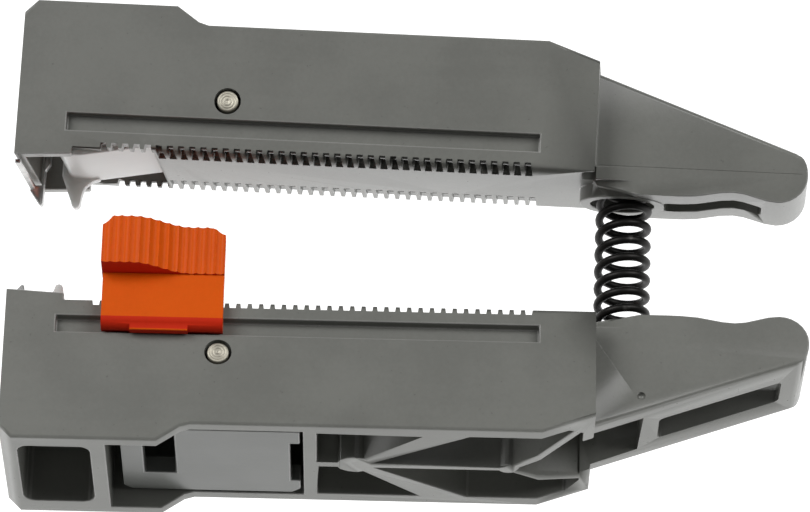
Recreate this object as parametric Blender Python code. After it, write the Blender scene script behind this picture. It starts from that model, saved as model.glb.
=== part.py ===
"""Jaw cassette pair of an automatic wire stripper.

Two equal plastic cassettes lie back to back, the upper one turned half round on the long axis,
and one coil spring between their tails holds them apart. Each cassette carries a steel blade,
a rocking holder with a claw on a steel pin, and the spring that returns the holder. A length
stop slides along the lower cassette.

The drawing is in millimetres and in cassette coordinates:
u runs from the mouth to the tail, h from the plane of the tooth tips outwards to the back,
and w across the width from the middle. The parts are scaled to metres when they are placed.
"""

import math

import bmesh
import bpy
from mathutils import Matrix, Vector
from mathutils.geometry import interpolate_bezier

MM = 0.001
GAP = 0.3                       # room left between pieces that touch

# Box of the cassette
BOX_LENGTH = 59.3
HALF_WIDTH = 9.0
BACK_HIGH = 15.3                # back face near the mouth
BACK_LOW = 13.4                 # back face behind it
BACK_END = 11.5                 # back face at the end of the box
LAND_LENGTH = 5.8               # raised land behind the front edge
LAND_HIGH = -1.15
LAND_LOW = -0.8
EDGE_ROUND = 0.3
FRONT_CHAMFER = 1.3

# Tail
TAIL_START = 56.0
TAIL_END = 81.0
TAIL_HALF_WIDTH = 5.55
TAIL_BACK_START = 11.0          # back of the tail where it leaves the box
TAIL_BACK_SLOPE = -0.362
LOBE_U = 78.0
LOBE_H = -1.7
DIP_U = 73.5
DIP_H = -0.85
FLAT_U = 68.5
RAMP_U = 63.6
RAMP_H = -1.5
TIP_H = 1.2

# Comb of teeth along both inner edges
COMB_START = 8.7
COMB_END = 52.9
NOTCH_COUNT = 39
NOTCH_WIDTH = 0.75
NOTCH_FLOOR = 0.6
NOTCH_DEPTH = 0.5
SLOT_INNER = 5.15               # slots between the teeth, from the middle bar to the wall
SLOT_OUTER = 7.45
SLOT_DEPTH = 2.9
SLOT_START = 14.6
SLOT_STEP = 0.04                # ledge between a notch's floor and its slot

# Hollows of the box
WALL = 1.0
MOUTH_END = 14.2
MOUTH_NEAR = 7.5
MOUTH_FAR = -7.7
MOUTH_DEPTH = 8.0
POCKET_START = 1.8
POCKET_END = 9.0
POCKET_NEAR = -6.9
POCKET_FAR = 6.3
POCKET_FLOOR = 9.2
BAY_START = 10.6                # bay of the blade holder
BAY_END = 30.2
BAY_HALF = 7.5
BAY_FLOOR = 2.6
RIB_START = 31.6
RIB_END = 58.2
RIB_HALF = 7.2
RIB_FLOOR = 5.4
RIB_THICK = 1.0
WEB_START = 42.8                # where the wedge webs meet the side walls
WEB_END = 47.6
TAIL_POCKET_END = 64.2
TAIL_POCKET_HALF = 3.7
BOSS_FRONT = (35.3, 1.75)       # place along u, radius
BOSS_REAR = (50.9, 1.05)
REAR_POCKET = (66.0, 78.4, 2.2, 3.0)    # start, end, half width, floor
GROOVE = (5.1, 53.6, 1.7, 3.5)  # side groove that guides the stop
GROOVE_DEPTH = 1.0
END_HOLLOW_START = 57.95        # shallow hollows in the inner face beside the tail
END_HOLLOW_FLOOR = 1.2
MARK = (64.0, 7.6, 0.45, 0.35)  # ejector mark on the tail's side: u, h, radius, depth

# Spring seat in the tail
SEAT_U = 62.1
SEAT_RADIUS = 3.3
SEAT_FLOOR = 4.0
SEAT_BOSS_RADIUS = 4.4
SEAT_BOSS_TOP = -1.56
TAIL_SLOT = (66.4, 76.4, 1.8, 2.0)

# Blade holder, claw, blade and pin
PIN_U = 21.5
PIN_H = 5.45
PIN_RADIUS = 1.075
PIN_HOLE_RADIUS = 1.375
HUB_RADIUS = 2.5
HOLDER_TOP = 13.3
HOLDER_THICK = 1.9
HOLDER_HALF = 7.2
HOLDER_START = 11.85
HOLDER_END = 29.9
HOLDER_WINDOW = (14.1, 17.3, -6.3, 3.2)
CLAW_FAR = -5.0
CLAW_NEAR = 7.0
PRONG_THICK = 1.2
BLADE_CENTRE = -4.5
BLADE_THICK = 1.1
LIP_THICK = 0.5                 # lip of the blade along the front edge
LIP_HIGH = -1.85
LIP_NEAR = 8.2

# Springs
SPRING_RADIUS = 2.5             # to the middle of the wire
SPRING_WIRE = 0.42
SPRING_TURNS = 13
SPRING_PLAY = 0.15              # how far it leans towards the tip in both seats
SPRING_HANDLE = 7.9             # how far its middle line follows the seats' axes
SPRING_TURN_START = 0.8         # share of its length from which the turns tilt to the upper seat
HOLDER_SPRING_U = 26.8
HOLDER_SPRING_RADIUS = 1.45
HOLDER_SPRING_WIRE = 0.22
HOLDER_SPRING_TURNS = 6

# Length stop, on the near side of the lower cassette, which is its -w side
STOP_START = 9.6
STOP_END = 21.9
STOP_GRIP_TOP = -7.6
STOP_GRIP_BASE = -2.4
STOP_FACE = 10.5
STOP_SWELL = 2.6                # how far the grip stands out at its front end
STOP_RUN_OUT = 0.35             # and at its rear end
STOP_SWELL_SPAN = (0.25, 0.72)  # shares of its length between which the swell runs out
STOP_INNER = 9.35
STOP_FAR_FACE = 10.15
FLUTE_COUNT = 13
FLUTE_DEPTH = 0.22
BRIDGE_START = 15.6
BRIDGE_TOP = -1.9
BRIDGE_UNDER = -0.35

# Places of the two cassettes in the part's frame, in millimetres and degrees
FRAME_U = 61.9                  # point of the drawing that lies at the two places
LOWER_SEAT = Vector((31.9, 7.0, 9.0))
UPPER_SEAT = Vector((32.1, 24.18, 11.54))
UPPER_ROLL = 15.3
UPPER_PITCH = -2.7
UPPER_SWING = -3.0
HINGE_POINT = Vector((31.73, 14.9, 9.0))

COLOURS = {
    "housing": ((0.15, 0.15, 0.14), 0.5, 0.0),
    "holder": ((0.22, 0.23, 0.22), 0.45, 0.0),
    "claw": ((0.62, 0.63, 0.6), 0.4, 0.0),
    "steel": ((0.6, 0.6, 0.58), 0.3, 1.0),
    "spring": ((0.02, 0.019, 0.018), 0.4, 0.6),
    "stop": ((0.75, 0.12, 0.01), 0.4, 0.0),
}


def arc(centre, radii, start, stop, count):
    """Points on an ellipse between two angles in degrees."""
    points = []
    for index in range(count + 1):
        angle = math.radians(start + (stop - start) * index / count)
        points.append((centre[0] + radii[0] * math.cos(angle), centre[1] + radii[1] * math.sin(angle)))
    return points


def ease(start, stop, share):
    """Value on a smooth step from start to stop."""
    return start + (stop - start) * (1 - math.cos(math.pi * share)) / 2


def rounded(u0, u1, w0, w1, radius, count=3):
    """Outline of a rectangle with round corners."""
    corners = [((u1 - radius, w1 - radius), 0), ((u0 + radius, w1 - radius), 90),
               ((u0 + radius, w0 + radius), 180), ((u1 - radius, w0 + radius), 270)]
    points = []
    for centre, angle in corners:
        points += arc(centre, (radius, radius), angle, angle + 90, count)
    return points


def circle(centre, radius, count):
    """Outline of a circle."""
    return arc(centre, (radius, radius), 0, 360, count)[:-1]


def prism(mesh, outline, axis, low, high):
    """Add a straight prism: its outline lies across the axis u, h or w."""
    order = {"u": (2, 0, 1), "h": (0, 2, 1), "w": (0, 1, 2)}[axis]
    rings = []
    for level in (low, high):
        ring = []
        for point in outline:
            given = (point[0], point[1], level)
            ring.append(mesh.verts.new([given[place] for place in order]))
        rings.append(ring)
    faces = [mesh.faces.new(rings[0]), mesh.faces.new(rings[1])]
    for index in range(len(outline)):
        following = (index + 1) % len(outline)
        faces.append(mesh.faces.new((rings[0][index], rings[0][following],
                                     rings[1][following], rings[1][index])))
    bmesh.ops.recalc_face_normals(mesh, faces=faces)


def box(mesh, u0, u1, h0, h1, w0, w1):
    """Add a box."""
    prism(mesh, [(u0, h0), (u1, h0), (u1, h1), (u0, h1)], "w", w0, w1)


def tube(mesh, points, radius, sides):
    """Add a closed round bar along points."""
    rings = []
    side = Vector((0.0, 0.0, 1.0))
    for index, point in enumerate(points):
        ahead = points[min(index + 1, len(points) - 1)] - points[max(index - 1, 0)]
        ahead.normalize()
        side = (side - ahead * side.dot(ahead)).normalized()
        across = ahead.cross(side)
        ring = []
        for step in range(sides):
            angle = math.tau * step / sides
            offset = side * math.cos(angle) + across * math.sin(angle)
            ring.append(mesh.verts.new(point + offset * radius))
        rings.append(ring)
    faces = [mesh.faces.new(rings[0]), mesh.faces.new(rings[-1])]
    for one, other in zip(rings, rings[1:]):
        for step in range(sides):
            following = (step + 1) % sides
            faces.append(mesh.faces.new((one[step], one[following], other[following], other[step])))
    bmesh.ops.recalc_face_normals(mesh, faces=faces)


def working_object(shape):
    """Link a bmesh to the scene as an object for a Boolean."""
    data = bpy.data.meshes.new("working")
    shape.to_mesh(data)
    shape.free()
    made = bpy.data.objects.new("working", data)
    bpy.context.scene.collection.objects.link(made)
    return made


def carve(shape, steps):
    """Apply a list of (operation, bmesh) to a bmesh and return the result as a bmesh."""
    base = working_object(shape)
    tools = []
    for operation, tool in steps:
        cutter = working_object(tool)
        modifier = base.modifiers.new(operation, "BOOLEAN")
        modifier.operation = operation
        modifier.solver = "EXACT"
        modifier.object = cutter
        tools.append(cutter)
    bpy.context.view_layer.update()
    graph = bpy.context.evaluated_depsgraph_get()
    result = bpy.data.meshes.new_from_object(base.evaluated_get(graph))
    carved = bmesh.new()
    carved.from_mesh(result)
    for spent in tools + [base]:
        bpy.data.objects.remove(spent)
    return carved


def shapes(maker):
    """Run a function that draws into a new bmesh, and return that bmesh."""
    mesh = bmesh.new()
    maker(mesh)
    return mesh


def place(name, shape, parent, finish, origin=(0.0, 0.0, 0.0), smooth=False):
    """Turn a bmesh into a named object whose origin lies at a point of the drawing."""
    bmesh.ops.translate(shape, vec=-Vector(origin), verts=shape.verts)
    bmesh.ops.scale(shape, vec=(MM, MM, MM), verts=shape.verts)
    data = bpy.data.meshes.new(name)
    shape.to_mesh(data)
    shape.free()
    if smooth:
        data.shade_smooth()
        data.set_sharp_from_angle(angle=math.radians(35))
    data.materials.append(material(finish))
    made = bpy.data.objects.new(name, data)
    bpy.context.scene.collection.objects.link(made)
    made.parent = parent
    made.location = Vector(origin) * MM
    return made


def material(finish):
    """One Principled material for each finish."""
    known = bpy.data.materials.get(finish)
    if known:
        return known
    colour, roughness, metallic = COLOURS[finish]
    made = bpy.data.materials.new(finish)
    made.use_nodes = True
    shader = made.node_tree.nodes["Principled BSDF"]
    shader.inputs["Base Color"].default_value = (*colour, 1.0)
    shader.inputs["Roughness"].default_value = roughness
    shader.inputs["Metallic"].default_value = metallic
    return made


def empty(name, parent, matrix):
    """Add an empty with a local matrix whose translation is in millimetres."""
    made = bpy.data.objects.new(name, None)
    bpy.context.scene.collection.objects.link(made)
    made.parent = parent
    matrix = matrix.copy()
    matrix.translation *= MM
    made.matrix_local = matrix
    return made


# ---------------------------------------------------------------- housing

def box_outline():
    """Side view of the box."""
    return [(0.0, LAND_HIGH), (LAND_LENGTH, LAND_LOW), (LAND_LENGTH, 0.0), (BOX_LENGTH, 0.0),
            (BOX_LENGTH, BACK_END), (54.0, BACK_LOW), (19.0, BACK_LOW), (18.0, BACK_LOW + 0.3),
            (15.7, BACK_HIGH), (FRONT_CHAMFER, BACK_HIGH), (0.0, BACK_HIGH - FRONT_CHAMFER)]


def tail_outline():
    """Side view of the tail, from the box round its wavy inner edge and its tip."""
    points = [(TAIL_START, 1.0), (BOX_LENGTH - 1.0, 1.0), (BOX_LENGTH + 0.3, -0.6), (RAMP_U, RAMP_H)]
    for index in range(5):
        share = index / 4
        points.append((FLAT_U + (DIP_U - FLAT_U) * share, ease(RAMP_H, DIP_H, share)))
    for index in range(1, 4):
        share = index / 4
        points.append((DIP_U + (LOBE_U - DIP_U) * share, ease(DIP_H, LOBE_H, share)))
    reach = TAIL_END - LOBE_U
    points += arc((LOBE_U, TIP_H), (reach, TIP_H - LOBE_H), -90, 0, 7)
    points += arc((TAIL_END - 1.7, TIP_H), (1.7, 2.5), 15, 75, 4)
    back_at_start = TAIL_BACK_START - TAIL_BACK_SLOPE * (BOX_LENGTH - TAIL_START)
    points.append((TAIL_START, back_at_start))
    return points


def housing_body():
    """Solid box and tail, with the outer long edges of the back rounded."""
    body = shapes(lambda mesh: prism(mesh, box_outline(), "w", -HALF_WIDTH, HALF_WIDTH))
    edges = []
    for edge in body.edges:
        one, other = (vertex.co for vertex in edge.verts)
        along_side = abs(one.z - other.z) < 0.01
        if along_side and min(one.y, other.y) > BACK_END - 0.1:
            edges.append(edge)
    bmesh.ops.bevel(body, geom=edges, offset=EDGE_ROUND, segments=3, profile=0.5, affect="EDGES")
    tail = shapes(lambda mesh: prism(mesh, tail_outline(), "w", -TAIL_HALF_WIDTH, TAIL_HALF_WIDTH))
    edges = []
    for edge in tail.edges:
        one, other = (vertex.co for vertex in edge.verts)
        along_side = abs(one.z - other.z) < 0.01
        if along_side and min(one.y, other.y) > 3.0 and max(one.x, other.x) > BOX_LENGTH:
            edges.append(edge)
    bmesh.ops.bevel(tail, geom=edges, offset=0.5, segments=2, profile=0.5, affect="EDGES")
    boss = circle((SEAT_U, 0.0), SEAT_BOSS_RADIUS, 32)
    seat_boss = shapes(lambda mesh: prism(mesh, boss, "h", SEAT_BOSS_TOP, SEAT_FLOOR))
    return carve(body, [("UNION", tail), ("UNION", seat_boss)])


def rib(mesh, start, stop):
    """Add an upright rib between two points (u, w) of the ribbed pockets."""
    start, stop = Vector(start), Vector(stop)
    side = (stop - start).orthogonal().normalized() * RIB_THICK / 2
    outline = [start + side, start - side, stop - side, stop + side]
    prism(mesh, [tuple(point) for point in outline], "h", RIB_FLOOR - 1, BACK_HIGH + 1)


def rib_pockets():
    """Cutter of the ribbed back: one large pocket less its ribs and bosses."""
    outline = [(RIB_START, -RIB_HALF), (RIB_END - 1.5, -RIB_HALF), (RIB_END, -RIB_HALF + 1.5),
               (RIB_END, -TAIL_POCKET_HALF), (TAIL_POCKET_END, -TAIL_POCKET_HALF),
               (TAIL_POCKET_END, TAIL_POCKET_HALF), (RIB_END, TAIL_POCKET_HALF),
               (RIB_END, RIB_HALF - 1.5), (RIB_END - 1.5, RIB_HALF), (RIB_START, RIB_HALF)]
    pocket = shapes(lambda mesh: prism(mesh, outline, "h", RIB_FLOOR, BACK_HIGH + 0.5))
    front, rear = BOSS_FRONT[0], BOSS_REAR[0]
    segments = [((RIB_START - 1, 0.0), (front, 0.0)), ((front, 0.0), (rear, 0.0)),
                ((rear, 0.0), (RIB_END + 0.4, -RIB_HALF - 0.1)),
                ((rear, 0.0), (RIB_END + 0.4, 4.9))]
    steps = []
    for start, stop in segments:
        steps.append(("DIFFERENCE", shapes(lambda mesh: rib(mesh, start, stop))))
    for side in (-1, 1):
        wall = side * (RIB_HALF + 0.5)
        web = [(front, side * RIB_THICK / 2), (front + 1.0, 0.0), (WEB_END, wall), (WEB_START, wall)]
        steps.append(("DIFFERENCE", shapes(lambda mesh: prism(mesh, web, "h", RIB_FLOOR - 1, BACK_HIGH + 1))))
    for place_u, radius in (BOSS_FRONT, BOSS_REAR):
        boss = circle((place_u, 0.0), radius, 16)
        steps.append(("DIFFERENCE", shapes(lambda mesh: prism(mesh, boss, "h", 4.0, 17.0))))
    return carve(pocket, steps)


def notch_starts():
    """Front edge of each notch along u."""
    pitch = (COMB_END - NOTCH_WIDTH - COMB_START) / (NOTCH_COUNT - 1)
    return [COMB_START + pitch * index for index in range(NOTCH_COUNT)]


def notches(mesh):
    """Cutters between the teeth, wide at the tips and narrower at the floor."""
    slope = (NOTCH_WIDTH - NOTCH_FLOOR) / 2
    for start in notch_starts():
        stop = start + NOTCH_WIDTH
        outline = [(start - slope, -NOTCH_DEPTH), (stop + slope, -NOTCH_DEPTH),
                   (stop - slope, NOTCH_DEPTH), (start + slope, NOTCH_DEPTH)]
        for side in (-1, 1):
            low, high = sorted((side * (SLOT_INNER - 0.15), side * (HALF_WIDTH + 1)))
            prism(mesh, outline, "w", low, high)


def slots(mesh):
    """Cutters of the open slots between the comb's ribs."""
    inset = (NOTCH_WIDTH - NOTCH_FLOOR) / 2 + SLOT_STEP
    for start in notch_starts():
        if start < SLOT_START:
            continue
        for side in (-1, 1):
            low, high = sorted((side * SLOT_INNER, side * SLOT_OUTER))
            box(mesh, start + inset, start + NOTCH_WIDTH - inset, -1.0, SLOT_DEPTH, low, high)


def both_sides(mesh, outline, h0, h1):
    """Add the same upright prism, drawn as (u, w) points, on the two sides."""
    prism(mesh, outline, "h", h0, h1)
    prism(mesh, [(u, -w) for u, w in outline], "h", h0, h1)


def side_grooves():
    """Outline (u, w) of the groove in the +w side."""
    u0, u1 = GROOVE[:2]
    inner, outer = HALF_WIDTH - GROOVE_DEPTH, HALF_WIDTH + 1
    return [(u0, inner), (u1, inner), (u1, outer), (u0, outer)]


def end_hollow():
    """Outline (u, w) of the shallow hollow between the tail and the +w corner of the box."""
    corner = arc((END_HOLLOW_START + 0.9, 7.3), (0.9, 0.9), 180, 90, 3)
    return [(END_HOLLOW_START, 4.7)] + corner + [(BOX_LENGTH + 0.1, 8.4), (BOX_LENGTH + 0.1, 4.7)]


def tail_recess():
    """Outline (u, w) of the wedge that narrows the tail beside the spring seat."""
    return [(BOX_LENGTH - 0.05, TAIL_HALF_WIDTH - 0.7), (RAMP_U - 0.2, TAIL_HALF_WIDTH + 0.02),
            (RAMP_U - 0.2, TAIL_HALF_WIDTH + 1), (BOX_LENGTH - 0.05, TAIL_HALF_WIDTH + 1)]


def housing():
    """The plastic housing of one cassette."""
    rear_u0, rear_u1, rear_half, rear_floor = REAR_POCKET
    slot_u0, slot_u1, slot_half, slot_floor = TAIL_SLOT
    back = BACK_HIGH + 1
    front_pocket = rounded(POCKET_START, POCKET_END, POCKET_NEAR, POCKET_FAR, 1.2)
    rear_pocket = rounded(rear_u0, rear_u1, -rear_half, rear_half, 0.5)
    tail_slot = rounded(slot_u0, slot_u1, -slot_half, slot_half, 0.4)
    pin_hole = circle((PIN_U, PIN_H), PIN_HOLE_RADIUS, 24)
    seat = circle((SEAT_U, 0.0), SEAT_RADIUS, 28)
    mark_u, mark_h, mark_radius, mark_depth = MARK
    mark = circle((mark_u, mark_h), mark_radius, 12)
    cutters = [
        lambda mesh: box(mesh, WALL, MOUTH_END, -3.0, MOUTH_DEPTH, MOUTH_FAR, MOUTH_NEAR),
        lambda mesh: prism(mesh, front_pocket, "h", POCKET_FLOOR, back),
        lambda mesh: box(mesh, BAY_START, BAY_END, BAY_FLOOR, back, -BAY_HALF, BAY_HALF),
        lambda mesh: prism(mesh, rear_pocket, "h", rear_floor, back),
        lambda mesh: prism(mesh, tail_slot, "h", -4.0, slot_floor),
        lambda mesh: both_sides(mesh, side_grooves(), *GROOVE[2:]),
        lambda mesh: prism(mesh, pin_hole, "w", -HALF_WIDTH - 1, HALF_WIDTH + 1),
        lambda mesh: prism(mesh, seat, "h", -4.1, SEAT_FLOOR),
        lambda mesh: both_sides(mesh, end_hollow(), -3.0, END_HOLLOW_FLOOR),
        lambda mesh: both_sides(mesh, tail_recess(), -3.1, -0.1),
        lambda mesh: prism(mesh, mark, "w", -TAIL_HALF_WIDTH - 1, -TAIL_HALF_WIDTH + mark_depth),
        notches,
        slots,
    ]
    steps = [("DIFFERENCE", rib_pockets())]
    for cutter in cutters:
        steps.append(("DIFFERENCE", shapes(cutter)))
    return carve(housing_body(), steps)


# ---------------------------------------------------------------- pieces of a cassette

def blade_holder():
    """Rocking holder: a top plate, a web, an arm to the claw and a hub on the pin."""
    under = HOLDER_TOP - HOLDER_THICK
    half = HOLDER_HALF
    start, end = HOLDER_START, HOLDER_END
    u0, u1, w0, w1 = HOLDER_WINDOW
    outline = [(start + 0.5, -half), (end, -half), (end, -4.4), (end - 1, -4.4), (end - 1, 4.4), (end, 4.4),
               (end, half - 0.8), (end - 0.8, half), (start + 0.8, half), (start, half - 0.8),
               (start, -half + 0.5)]
    plate = shapes(lambda mesh: prism(mesh, outline, "h", under, HOLDER_TOP))
    hub = circle((PIN_U, PIN_H), HUB_RADIUS, 24)
    bore = circle((PIN_U, PIN_H), PIN_HOLE_RADIUS, 24)
    arm_under = BAY_FLOOR + 0.6
    steps = [
        ("DIFFERENCE", shapes(lambda mesh: box(mesh, u0, u1, under - 1, HOLDER_TOP + 1, w0, w1))),
        ("UNION", shapes(lambda mesh: box(mesh, 18.9, 24.4, 4.6, under + 0.5, -4.4, 4.4))),
        ("UNION", shapes(lambda mesh: prism(mesh, hub, "w", -7.1, 7.1))),
        ("UNION", shapes(lambda mesh: box(mesh, 4.8, 20.6, arm_under, 6.4, CLAW_FAR, CLAW_NEAR))),
        ("DIFFERENCE", shapes(lambda mesh: prism(mesh, bore, "w", -9.0, 9.0))),
    ]
    return carve(plate, steps)


def grip_claw():
    """Claw block under the holder's arm, with its prong on the far side."""
    top = BAY_FLOOR + 0.6 - GAP
    block = [(4.0, top), (4.0, 0.0), (4.6, -0.5), (6.4, -0.5), (13.85, 0.85), (13.85, top)]
    prong = [(3.3, top - 0.4), (3.3, -0.3), (4.45, -3.1)]
    prong += arc((4.93, -3.3), (0.42, 0.42), 190, 350, 4)
    prong += [(5.5, -2.2), (5.85, -1.4), (6.5, -0.8), (7.3, -0.5), (7.3, top - 0.4)]
    body = shapes(lambda mesh: prism(mesh, block, "w", CLAW_FAR, CLAW_NEAR))
    tooth = shapes(lambda mesh: prism(mesh, prong, "w", CLAW_FAR - 0.01, CLAW_FAR + PRONG_THICK))
    return carve(body, [("UNION", tooth)])


def strip_blade():
    """Steel blade behind the front wall, with a pointed tooth and a lip that hook over it."""
    low = BLADE_CENTRE - BLADE_THICK / 2
    inner = WALL + GAP
    over = LAND_HIGH - GAP
    outline = [(inner, over), (0.05, over), (0.05, -2.1), (1.05, -3.45), (1.25, -3.55), (1.42, -3.4),
               (1.5, 0.2), (1.95, 0.9), (1.95, MOUTH_DEPTH - GAP), (inner, MOUTH_DEPTH - GAP)]
    tooth = shapes(lambda mesh: prism(mesh, outline, "w", low, low + BLADE_THICK))
    lip = shapes(lambda mesh: box(mesh, 0.06, 0.06 + LIP_THICK, LIP_HIGH, over - 0.01, low + 0.1, LIP_NEAR))
    return carve(tooth, [("UNION", lip)])


def pivot_pin():
    """Steel pin across the housing, chamfered at both ends."""
    end = HALF_WIDTH - 0.05
    chamfer = 0.15
    pin = bmesh.new()
    rings = []
    for level, radius in ((-end, PIN_RADIUS - chamfer), (-end + chamfer, PIN_RADIUS),
                          (end - chamfer, PIN_RADIUS), (end, PIN_RADIUS - chamfer)):
        ring = [pin.verts.new((*point, level)) for point in circle((PIN_U, PIN_H), radius, 24)]
        rings.append(ring)
    bmesh.ops.contextual_create(pin, geom=rings[0])
    bmesh.ops.contextual_create(pin, geom=rings[-1])
    for one, other in zip(rings, rings[1:]):
        for index in range(24):
            following = (index + 1) % 24
            pin.faces.new((one[index], one[following], other[following], other[index]))
    bmesh.ops.recalc_face_normals(pin, faces=pin.faces)
    return pin


def holder_spring():
    """Small coil spring between the floor of the bay and the holder's plate."""
    low = BAY_FLOOR + GAP + HOLDER_SPRING_WIRE
    high = HOLDER_TOP - HOLDER_THICK - GAP - HOLDER_SPRING_WIRE
    per_turn = 10
    count = HOLDER_SPRING_TURNS * per_turn
    points = []
    for index in range(count + 1):
        angle = math.tau * index / per_turn
        points.append(Vector((HOLDER_SPRING_U + HOLDER_SPRING_RADIUS * math.cos(angle),
                              low + (high - low) * index / count,
                              HOLDER_SPRING_RADIUS * math.sin(angle))))
    return shapes(lambda mesh: tube(mesh, points, HOLDER_SPRING_WIRE, 5))


def build_cassette(prefix, frame):
    """Place every piece of one cassette on its frame."""
    pin_axis = (PIN_U, PIN_H, 0.0)
    place(prefix + "_housing", housing(), frame, "housing")
    place(prefix + "_strip_blade", strip_blade(), frame, "steel")
    place(prefix + "_pivot_pin", pivot_pin(), frame, "steel", pin_axis, smooth=True)
    place(prefix + "_holder_spring", holder_spring(), frame, "spring", smooth=True)
    place(prefix + "_blade_holder", blade_holder(), frame, "holder", pin_axis)
    place(prefix + "_grip_claw", grip_claw(), frame, "claw", pin_axis)


# ---------------------------------------------------------------- pieces between the cassettes

def grip_outline():
    """Top view (u, w) of the fluted grip: a smooth swell with vertical flutes."""
    points = [(STOP_END, -STOP_INNER), (STOP_START, -STOP_INNER)]
    steps = FLUTE_COUNT * 4
    for index in range(steps + 1):
        share = index / steps
        fall = (share - STOP_SWELL_SPAN[0]) / (STOP_SWELL_SPAN[1] - STOP_SWELL_SPAN[0])
        swell = ease(STOP_SWELL, STOP_RUN_OUT, min(max(fall, 0.0), 1.0))
        flute = FLUTE_DEPTH * abs(math.sin(math.pi * index / 4))
        points.append((STOP_START + (STOP_END - STOP_START) * share, -(STOP_FACE + swell - flute)))
    return points


def length_stop():
    """Orange stop: fluted grip, near and far legs hooked in the side grooves, and a bridge."""
    near_leg = [(STOP_GRIP_BASE - 0.6, -STOP_INNER), (STOP_GRIP_BASE - 0.6, -STOP_FACE), (2.4, -STOP_FACE),
                (2.9, -STOP_FACE + 0.15), (3.3, -STOP_FACE + 0.5), (3.45, -STOP_INNER - 0.3),
                (3.45, -HALF_WIDTH - GAP), (3.2, -HALF_WIDTH - GAP), (3.2, -HALF_WIDTH + 0.7),
                (2.0, -HALF_WIDTH + 0.7), (2.0, -STOP_INNER)]
    far_leg = [(BRIDGE_TOP, STOP_FAR_FACE), (BRIDGE_TOP, HALF_WIDTH + GAP), (2.0, HALF_WIDTH + GAP),
               (2.0, HALF_WIDTH - 0.7), (3.2, HALF_WIDTH - 0.7), (3.2, STOP_FAR_FACE)]
    grip = shapes(lambda mesh: prism(mesh, grip_outline(), "h", STOP_GRIP_TOP, STOP_GRIP_BASE))
    corners = bmesh.new()
    for end, run, drop in ((STOP_START, 1.1, 1.1), (STOP_END, -1.3, 0.85)):
        outer = end - math.copysign(0.5, run)
        wedge = [(outer, STOP_GRIP_TOP - 0.5), (end + run * 1.5, STOP_GRIP_TOP - 0.5 * drop),
                 (end - run * 0.5, STOP_GRIP_TOP + drop * 1.5)]
        prism(corners, wedge, "w", -16.0, -9.0)
    steps = [
        ("DIFFERENCE", corners),
        ("UNION", shapes(lambda mesh: prism(mesh, near_leg, "u", STOP_START + 0.1, STOP_END))),
        ("UNION", shapes(lambda mesh: box(mesh, BRIDGE_START, STOP_END - 0.2, BRIDGE_TOP, BRIDGE_UNDER,
                                          -STOP_FACE + 0.5, STOP_FAR_FACE - 0.2))),
        ("UNION", shapes(lambda mesh: prism(mesh, far_leg, "u", BRIDGE_START, STOP_END - 0.2))),
        ("UNION", shapes(lambda mesh: box(mesh, 12.6, 18.4, 2.4, 3.7, -10.2, -STOP_INNER))),
    ]
    return carve(grip, steps)


def main_spring(upper_turn):
    """Coil spring between the two seats, in the part's frame.

    Its middle line leaves each seat straight. Its turns keep the plane of the lower seat and only
    tilt to the upper seat over the last of its length, as those of a sheared spring do.
    """
    reach = SEAT_FLOOR - SPRING_WIRE - GAP
    along = Vector((SEAT_U - FRAME_U + SPRING_PLAY, 0.0, 0.0))
    lower_way = Vector((0.0, 1.0, 0.0))
    upper_way = upper_turn @ lower_way
    lower = LOWER_SEAT + along - lower_way * reach
    upper = UPPER_SEAT + upper_turn @ along + upper_way * reach
    line = interpolate_bezier(lower, lower + lower_way * SPRING_HANDLE,
                              upper - upper_way * SPRING_HANDLE, upper, SPRING_TURNS * 14 + 1)
    points = []
    for index, centre in enumerate(line):
        share = index / (len(line) - 1)
        tilt = max(0.0, share - SPRING_TURN_START) / (1 - SPRING_TURN_START)
        ahead = lower_way.lerp(upper_way, ease(0.0, 1.0, tilt)).normalized()
        side = ahead.cross(Vector((0.0, 0.0, 1.0))).normalized()
        across = ahead.cross(side)
        angle = math.tau * SPRING_TURNS * share
        points.append(centre + (side * math.cos(angle) + across * math.sin(angle)) * SPRING_RADIUS)
    return shapes(lambda mesh: tube(mesh, points, SPRING_WIRE, 6))


def main():
    """Clear the scene and build both cassettes, the spring and the stop."""
    for old in list(bpy.data.objects):
        bpy.data.objects.remove(old)

    drawing = Matrix.Translation(Vector((-FRAME_U, 0.0, 0.0)))
    half_turn = Matrix.Rotation(math.pi, 4, "X")
    upper_turn = (Matrix.Rotation(math.radians(UPPER_SWING), 4, "Z")
                  @ Matrix.Rotation(math.radians(UPPER_PITCH), 4, "Y")
                  @ Matrix.Rotation(math.radians(UPPER_ROLL), 4, "X"))

    lower_frame = empty("lower_cassette", None, Matrix.Translation(LOWER_SEAT) @ half_turn @ drawing)
    hinge = empty("jaw_level_axis", None, Matrix.Translation(HINGE_POINT))
    upper_frame = empty("upper_cassette", hinge,
                        Matrix.Translation(UPPER_SEAT - HINGE_POINT) @ upper_turn @ drawing)

    build_cassette("lower", lower_frame)
    build_cassette("upper", upper_frame)
    place("length_stop", length_stop(), lower_frame, "stop")
    place("main_spring", main_spring(upper_turn.to_3x3()), None, "spring", smooth=True)


main()
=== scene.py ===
"""Looks of the jaw cassettes of an automatic wire stripper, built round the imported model.

Two equal grey cassettes lie on their sides, mouth to the left, with a black coil spring between
their tails and an orange length stop on the lower one. Moulded and ground pieces take their
solids from the frame and get broken edges. The springs, the turned pins and the stop with its
fluted grip are made here.

Sizes are in millimetres. In a cassette's own drawing u runs from the mouth to the tail, h from
the tooth tips outwards to the back, and w across from the middle. A mesh is scaled to metres and
put in its place when it is finished.
"""

import logging
import math
from dataclasses import dataclass, field
from enum import Enum
from typing import Iterable, Sequence, Union

import bmesh
import bpy
from bmesh.types import BMesh
from mathutils import Matrix, Vector

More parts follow.
